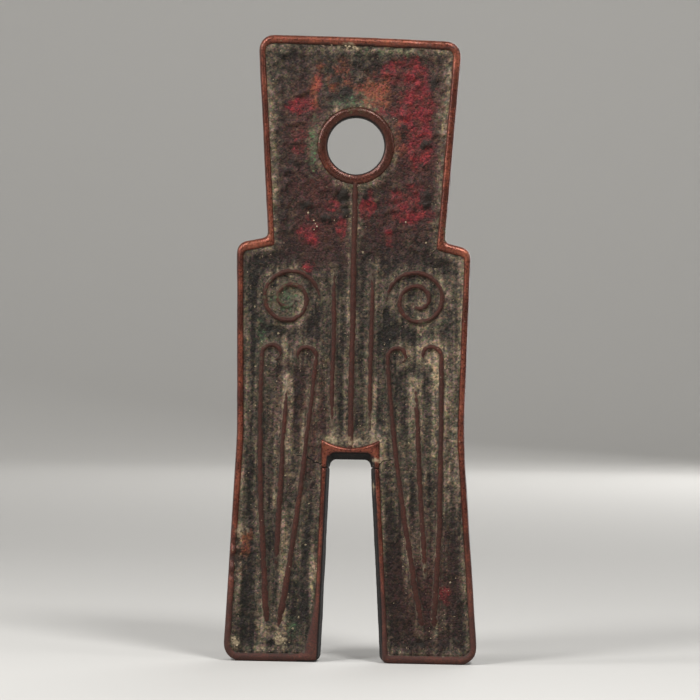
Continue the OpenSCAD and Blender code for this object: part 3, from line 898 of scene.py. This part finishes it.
def link_object(name, data):
    made = bpy.data.objects.new(name, data)
    bpy.context.scene.collection.objects.link(made)
    return made


def mesh_points(mesh):
    values = np.empty(len(mesh.vertices) * 3)
    mesh.vertices.foreach_get("co", values)
    return values.reshape(-1, 3)


def set_points(mesh, points):
    mesh.vertices.foreach_set("co", points.ravel())
    mesh.update()


def patch_values(points, name):
    """How strong a named patch is at each point of the coin."""
    total = np.zeros(len(points))
    back = points[:, 1] > 0
    across = points[:, 0]
    up = np.where(back, BACK_TURN - points[:, 2], points[:, 2])
    for x, z, half_w, half_h, strength in PATCHES[name]:
        reach = ((across - x) / half_w) ** 2 + ((up - z) / half_h) ** 2
        total = np.maximum(total, strength * np.exp(-0.5 * reach))
    total[back] *= BACK_SHARE
    return total


def paint(mesh):
    """Stores on a mesh, in millimetres, how strong each patch is at each point."""
    points = mesh_points(mesh)
    for patch in PATCHES:
        layer = mesh.attributes.new(patch, "FLOAT", "POINT")
        layer.data.foreach_set("value", patch_values(points, patch).astype(np.float32))


def mark_face(mesh, marks):
    """Raises lumps and sinks pits in a mesh's face, in millimetres."""
    points = mesh_points(mesh)
    front = points[:, 1] < 0
    for x, z, radius, height in marks:
        reach = ((points[:, 0] - x) ** 2 + (points[:, 2] - z) ** 2) / radius ** 2
        points[front, 1] -= (height * np.exp(-reach ** LUMP_EDGE))[front]
    set_points(mesh, points)


def working_copy(node):
    """A node's solid as a new object in millimetres, its triangles joined."""
    mesh = frame["nodes"][node].data.copy()
    mesh.materials.clear()
    mesh.transform(TO_MM)
    solid = bmesh.new()
    solid.from_mesh(mesh)
    bmesh.ops.remove_doubles(solid, verts=solid.verts, dist=WELD)
    solid.to_mesh(mesh)
    solid.free()
    return link_object(node + "_work", mesh)


# The left leg's inner rim broadens over the field towards its foot. Places across the rim, from its crest to
# its inner edge, lean with the leg, and past the edge the broadening fades out along the foot's rim.
TOE_CREST = -3.25
TOE_EDGE = -3.6
TOE_FADE = -7.5
TOE_LEAN = 0.03
TOE_REACH = 5.4
TOE_SPREAD = 1.3


def spread_toe(mesh):
    """Broadens the front of the left leg's inner rim, in millimetres, towards the foot."""
    points = mesh_points(mesh)
    across = points[:, 0] - TOE_LEAN * points[:, 2]
    share = np.interp(across, (TOE_FADE, TOE_EDGE, TOE_CREST), (0, 1, 0))
    share *= np.clip(1 - points[:, 2] / TOE_REACH, 0, 1) * (points[:, 1] < 0)
    points[:, 0] -= TOE_SPREAD * share
    set_points(mesh, points)


def widen_plate(made, amount):
    """Moves the walls of a plate outwards in its plane, in millimetres."""
    plate = bmesh.new()
    plate.from_mesh(made.data)
    moves = []
    for corner in plate.verts:
        walls = [face.normal for face in corner.link_faces if abs(face.normal.y) < 0.5]
        moves.append(sum(walls, Vector()).normalized() * amount if walls else Vector())
    for corner, move in zip(plate.verts, moves):
        corner.co += move
    plate.to_mesh(made.data)
    plate.free()


def stretch(made, overlap):
    """Lengthens an upright line at both ends."""
    points = mesh_points(made.data)
    middle = (points[:, 2].min() + points[:, 2].max()) / 2
    points[:, 2] += np.where(points[:, 2] > middle, overlap, -overlap)
    set_points(made.data, points)


def remesh(made, voxel_mm, rounds):
    """Evens out an object's mesh and softens its edges."""
    even = made.modifiers.new("Even mesh", "REMESH")
    even.mode = "VOXEL"
    even.voxel_size = voxel_mm
    even.use_smooth_shade = True
    soft = made.modifiers.new("Soft edges", "SMOOTH")
    soft.factor = 0.5
    soft.iterations = rounds


def grow(made, tree, **inputs):
    """Adds a geometry node tree to an object; underscores in the names stand for spaces."""
    modifier = made.modifiers.new(tree.name, "NODES")
    modifier.node_group = tree
    for socket in tree.interface.items_tree:
        key = socket.name.replace(" ", "_")
        if socket.in_out == "INPUT" and key in inputs:
            modifier[socket.identifier] = inputs[key]


def as_piece(made, name, painted=True, marks=(), reshape=None):
    """Turns a worked object, with its modifiers, into a finished piece in metres."""
    depsgraph = bpy.context.evaluated_depsgraph_get()
    mesh = bpy.data.meshes.new_from_object(
        made.evaluated_get(depsgraph), preserve_all_data_layers=True, depsgraph=depsgraph)
    mesh.name = name
    bpy.data.objects.remove(made)
    if reshape:
        reshape(mesh)
    if painted:
        paint(mesh)
    mark_face(mesh, marks)
    mesh.transform(TO_METRES)
    return link_object(name, mesh)


def join_frame(piece, slot, *nodes):
    """Lets a piece ride on the coin and stand for its solids; its slot is not used."""
    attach(piece, BODY)
    if nodes:
        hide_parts(*nodes)


def bronze_name(node):
    return node + "_bronze"


def relief_guide(name, nodes):
    """One object in millimetres of the pieces that stand for some nodes, to measure the field against."""
    joined = bmesh.new()
    for node in nodes:
        joined.from_mesh(bpy.data.objects[bronze_name(node)].data)
    mesh = bpy.data.meshes.new(name)
    joined.to_mesh(mesh)
    joined.free()
    mesh.transform(TO_MM)
    return link_object(name, mesh)


def crumb_points(field):
    """An object of single points in millimetres, one for each crumb, on the field's face."""
    surface = mesh_points(field) * MM
    surface = surface[surface[:, 1] < 0]
    mesh = bpy.data.meshes.new("crumb_points")
    mesh.vertices.add(len(CRUMBS))
    size = mesh.attributes.new("size", "FLOAT", "POINT")
    for vertex, value, (x, z, radius) in zip(mesh.vertices, size.data, CRUMBS):
        nearest = np.argmin((surface[:, 0] - x) ** 2 + (surface[:, 2] - z) ** 2)
        vertex.co = (x, surface[nearest, 1], z)
        value.value = radius
    return link_object("crumb_points", mesh)


# Operators

RIM_GLOSS = 0.4
LINE_GLOSS = 0.25
LINE_DARKNESS = 0.12
# Rounds of smoothing that soften a remeshed line or the field
SOFT_ROUNDS = 2


class CoinRim(bpy.types.Operator):
    """Make the worn rim, the bar over the gap and the collar round the hole"""
    bl_idname = "spade_coin.rim"
    bl_label = "Rim, bar and collar"

    def execute(self, context):
        casting = context.scene.coin_casting
        field = working_copy(FIELD_NODE)
        # Node, voxel, rounds of smoothing, level of the crest, reach of dust at the foot, darkness, reshape
        rims = (
            ("outer_rim", casting.rim_voxel, 9, RIM_LEVEL, (0.16, 0.38), 0.0, spread_toe),
            ("crotch_bar", casting.collar_voxel, 7, RIM_LEVEL, (0.16, 0.38), 0.0, None),
            ("hole_collar", casting.collar_voxel, 9, COLLAR_LEVEL, (0.05, 0.2), 0.2, None),
        )
        for seed, (node, voxel, rounds, level, foot_reach, darkness, reshape) in enumerate(rims):
            made = working_copy(node)
            remesh(made, voxel * MM, rounds)
            material = bronze_material("worn_rim_" + node, level, foot_reach, darkness, RIM_GLOSS)
            grow(
                made, cast_skin_tree(), Field=field, Wave=casting.rim_wave * MM * 2, Wave_Size=2.4, Grit=0.02,
                Grit_Size=0.35, Dull_Below=15.0, Seed=seed + 1.0, Material=material)
            join_frame(as_piece(made, bronze_name(node), marks=RIM_MARKS, reshape=reshape), "worn_rim", node)
        bpy.data.objects.remove(field)
        return {"FINISHED"}


class CoinLines(bpy.types.Operator):
    """Make the centre ridges and the raised line ornament"""
    bl_idname = "spade_coin.lines"
    bl_label = "Raised lines"

    def execute(self, context):
        casting = context.scene.coin_casting
        field = working_copy(FIELD_NODE)
        for seed, node in enumerate(LINE_NODES):
            made = working_copy(node)
            # The ridges wander less than the other lines, and are not worn flat
            if "ridge" in node:
                stretch(made, casting.ridge_overlap * MM)
                look = ("worn_ridge", RIDGE_LEVEL, (0.06, 0.16))
                wander, height_left, spread = 0.6, 1.0, 0.0
            else:
                look = ("worn_line", LINE_LEVEL, (0.1, 0.22))
                wander, height_left, spread = 1.0, 1 - WORN_LOSS, casting.line_spread * MM
            remesh(made, casting.line_voxel * MM, SOFT_ROUNDS)
            material = bronze_material(*look, LINE_DARKNESS, LINE_GLOSS)
            grow(
                made, cast_skin_tree(), Field=field, Flare=casting.line_flare * MM, Flare_Height=0.28,
                Wobble=casting.line_wobble * MM * wander, Wobble_Size=5.0, Wave=0.17, Wave_Size=0.8,
                Grit=0.07, Grit_Size=0.28, Worn_Height=height_left, Worn_Below=24.0, Worn_Spread=spread,
                Seed=0.5 * seed, Material=material)
            join_frame(as_piece(made, bronze_name(node)), "raised_lines", node)
        bpy.data.objects.remove(field)
        return {"FINISHED"}


class CoinField(bpy.types.Operator):
    """Make the dished, crusted field inside the rim"""
    bl_idname = "spade_coin.field"
    bl_label = "Field"

    def execute(self, context):
        casting = context.scene.coin_casting
        rims = relief_guide("rim_guide", RIM_NODES)
        lines = relief_guide("line_guide", LINE_NODES)
        made = working_copy(FIELD_NODE)
        widen_plate(made, casting.field_overlap * MM)
        remesh(made, casting.field_voxel * MM, SOFT_ROUNDS)
        grow(
            made, dished_field_tree(), Rims=rims, Rim_Cove_Height=casting.rim_cove_height * MM,
            Rim_Cove_Width=casting.rim_cove_width * MM, Lines=lines, Material=field_material(),
            Line_Cove_Height=casting.line_cove_height * MM, Line_Cove_Width=casting.line_cove_width * MM)
        join_frame(as_piece(made, "field_crust", marks=FIELD_MARKS), "crusted_field", FIELD_NODE)
        for guide in (rims, lines):
            bpy.data.objects.remove(guide)
        return {"FINISHED"}


class CoinSoil(bpy.types.Operator):
    """Scatter grains of soil over the field, thickest in its corners"""
    bl_idname = "spade_coin.soil"
    bl_label = "Soil grains"

    def execute(self, context):
        casting = context.scene.coin_casting
        finish = context.scene.coin_finish
        mesh = bpy.data.objects["field_crust"].data.copy()
        mesh.transform(TO_MM)
        made = link_object("soil_work", mesh)
        soil = loose_material("dry_soil", 0.25, 1.0, finish.patina_brown, finish.soil, 0.95, 0.1)
        grow(
            made, soil_grain_tree(), Density=casting.grain_density, Radius=casting.grain_radius * MM,
            Material=soil)
        join_frame(as_piece(made, "soil_grains", painted=False), "crusted_field")
        made = crumb_points(bpy.data.objects["field_crust"].data)
        chalk = loose_material("pale_crumb", 0.2, 2.0, finish.soil, finish.chalk, 0.6, 0.5)
        grow(made, crumb_tree(), Material=chalk)
        join_frame(as_piece(made, "pale_crumbs", painted=False), "crusted_field")
        return {"FINISHED"}


# Lamps: name, place, the point that it looks at, size and watts
COIN_MIDDLE = (0, 0, COIN_TOP / MM / 2)
LAMPS = (
    ("top_right_softbox", (0.08, -0.15, 0.23), COIN_MIDDLE, 0.07, 0.5),
    ("top_left_softbox", (-0.13, -0.15, 0.21), COIN_MIDDLE, 0.07, 0.45),
    ("left_softbox", (-0.44, -0.14, 0.2), COIN_MIDDLE, 0.16, 1.1),
    ("right_softbox", (0.48, -0.14, 0.2), COIN_MIDDLE, 0.16, 0.4),
    ("back_softbox", (0.2, 0.46, 0.2), COIN_MIDDLE, 0.42, 1.2),
    ("backdrop_wash", (0, 0.3, 0.62), (0, 0.9, 0.5), 0.3, 2.0),
)
AIR_STRENGTH = 0.13
# Points of the floor closer than this, in metres, are one point
FLOOR_WELD = 1e-5
# The point in the middle of the picture
CAMERA_AIM = Vector((-0.00057, 0, 0.02893))


class CoinStage(bpy.types.Operator):
    """Make the pale floor with its curved backdrop, the lamps and the camera"""
    bl_idname = "spade_coin.stage"
    bl_label = "Stage"

    def execute(self, context):
        settings = context.scene.coin_stage
        make_floor(settings)
        for lamp in LAMPS:
            add_lamp(*lamp)
        world = bpy.data.worlds.new("studio_air")
        world.use_nodes = True
        fill(world.node_tree.nodes["Background"], Color=(1, 1, 1, 1), Strength=AIR_STRENGTH)
        context.scene.world = world
        make_camera(context.scene, settings)
        context.scene.view_settings.view_transform = "Standard"
        return {"FINISHED"}


def make_floor(settings):
    """A flat round floor that sweeps up into a wall all the way round."""
    steps = 16
    turns = 96
    flat = settings.floor_radius
    curve = settings.wall_radius
    angles = [math.pi / 2 * step / steps for step in range(1, steps + 1)]
    sweep = [(flat + curve * math.sin(angle), curve * (1 - math.cos(angle))) for angle in angles]
    profile = [(0.0, 0.0), (flat, 0.0), *sweep, (flat + curve, settings.wall_height)]
    bowl = bmesh.new()
    path = [bowl.verts.new((radius, 0, height)) for radius, height in profile]
    edges = [bowl.edges.new(pair) for pair in zip(path, path[1:])]
    bmesh.ops.spin(
        bowl, geom=path + edges, cent=(0, 0, 0), axis=(0, 0, 1), angle=2 * math.pi, steps=turns,
        use_merge=True)
    bmesh.ops.remove_doubles(bowl, verts=bowl.verts, dist=FLOOR_WELD)
    mesh = bpy.data.meshes.new("studio_floor")
    bowl.to_mesh(mesh)
    bowl.free()
    mesh.shade_smooth()
    material, _, shader, _ = new_material("studio_floor")
    fill(shader, Base_Color=settings.floor, Roughness=0.9)
    mesh.materials.append(material)
    return link_object("studio_floor", mesh)


def add_lamp(name, place, target, size, watts):
    lamp = bpy.data.lights.new(name, "AREA")
    lamp.shape = "DISK"
    lamp.size = size
    lamp.energy = watts
    made = link_object(name, lamp)
    made.location = place
    made.rotation_euler = (Vector(target) - Vector(place)).to_track_quat("-Z", "Y").to_euler()


def make_camera(scene, settings):
    """A long lens square to the coin's face, turned a little about its own line of sight."""
    lens = bpy.data.cameras.new("photo_camera")
    lens.lens = settings.lens
    lens.clip_start = 0.001
    camera = link_object("photo_camera", lens)
    distance = settings.frame_width * settings.lens / lens.sensor_width
    camera.location = CAMERA_AIM - Vector((0, distance, 0))
    upright = Matrix.Rotation(math.pi / 2, 4, "X")
    camera.rotation_euler = (upright @ Matrix.Rotation(settings.roll, 4, "Z")).to_euler()
    scene.camera = camera


class CoinPanel(bpy.types.Panel):
    """Lists the steps that dress the coin, and their settings"""
    bl_idname = "VIEW3D_PT_spade_coin"
    bl_label = "Spade Coin"
    bl_space_type = "VIEW_3D"
    bl_region_type = "UI"
    bl_category = "Spade Coin"

    def draw(self, context):
        for step in STEPS:
            self.layout.operator(step.bl_idname)
        for group in SETTINGS:
            settings = getattr(context.scene, group)
            for name in settings.bl_rna.properties.keys():
                if name not in ("rna_type", "name"):
                    self.layout.prop(settings, name)


STEPS = (CoinRim, CoinLines, CoinField, CoinSoil, CoinStage)
SETTINGS = {
    "coin_casting": CoinCastingSettings,
    "coin_finish": CoinFinishSettings,
    "coin_stage": CoinStageSettings,
}


def register():
    for group in SETTINGS.values():
        bpy.utils.register_class(group)
    for name, group in SETTINGS.items():
        setattr(bpy.types.Scene, name, bpy.props.PointerProperty(type=group))
    for step in STEPS:
        bpy.utils.register_class(step)
    bpy.utils.register_class(CoinPanel)


def unregister():
    bpy.utils.unregister_class(CoinPanel)
    for step in reversed(STEPS):
        bpy.utils.unregister_class(step)
    for name in SETTINGS:
        delattr(bpy.types.Scene, name)
    for group in SETTINGS.values():
        bpy.utils.unregister_class(group)


def main():
    register()
    bpy.ops.spade_coin.rim()
    bpy.ops.spade_coin.lines()
    bpy.ops.spade_coin.field()
    bpy.ops.spade_coin.soil()
    bpy.ops.spade_coin.stage()


if __name__ == "__main__":
    main()
